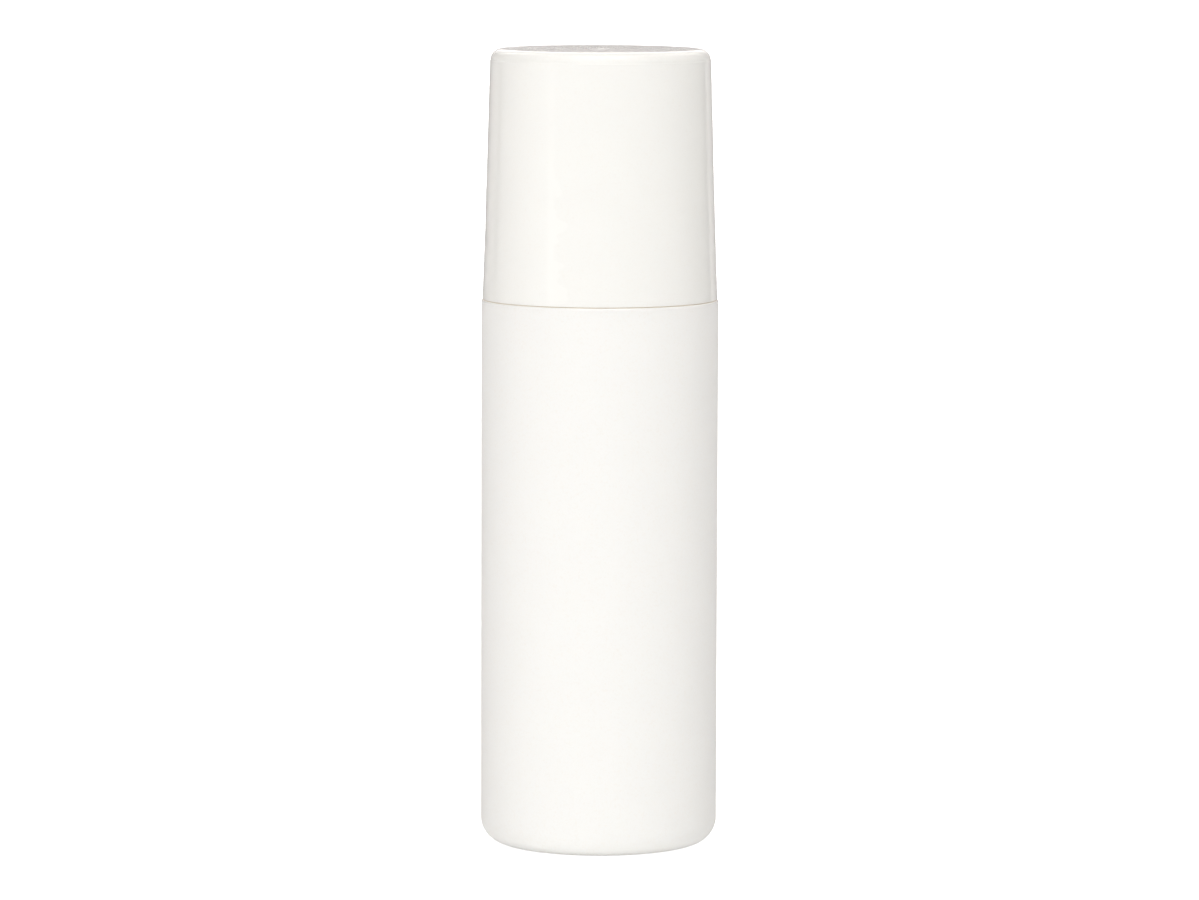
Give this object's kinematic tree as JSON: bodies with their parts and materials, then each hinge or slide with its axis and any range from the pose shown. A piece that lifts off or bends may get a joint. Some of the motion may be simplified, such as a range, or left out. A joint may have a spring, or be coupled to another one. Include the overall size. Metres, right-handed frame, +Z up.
{
  "type": "roll-on deodorant bottle",
  "caption": "Slim round roll-on deodorant bottle with a tapered glossy screw cap over a ball held in a snap-in housing.",
  "frame": {"origin": "centre of the ring that the bottle stands on, in its plane", "axes": "+Z up along the bottle's axis; the picture looks along +Y, with +X to its right"},
  "size_m": [0.034, 0.034, 0.1143],
  "materials": {
    "bottle_plastic": "satin blow-moulded polyethylene, warm white, faintly grained",
    "housing_plastic": "smooth natural polyethylene, slightly milky",
    "ball_plastic": "polished white polypropylene",
    "cap_plastic": "glossy injection-moulded polypropylene, warm white, with slight sink in the wall",
    "liner_plastic": "satin moulded polypropylene",
    "disc_elastomer": "soft matt elastomer"
  },
  "bodies": {
    "bottle": {"bottle": "bottle_plastic", "ball_housing": "housing_plastic"},
    "ball": {"roller_ball": "ball_plastic"},
    "disc": {"sealing_disc": "disc_elastomer"},
    "cap": {"outer_cap": "cap_plastic", "inner_cap": "liner_plastic"}
  },
  "joints": [
    {"name": "ball_roll", "type": "hinge", "parent": "bottle", "child": "ball", "pos_m": [0, 0, 0.096], "axis": [1, 0, 0], "continuous": true},
    {"name": "cap_lift", "type": "slide", "parent": "bottle", "child": "disc", "axis": [0, 0, 1], "range_m": [0, 0.0343]},
    {"name": "cap_turn", "type": "hinge", "parent": "disc", "child": "cap", "pos_m": [0, 0, 0.0785], "axis": [0, 0, 1], "range_deg": [0, 3420]}
  ],
  "couplings": [
    {"joint": "cap_lift", "follows": "cap_turn", "m_per_rad": 0.00057296}
  ]
}
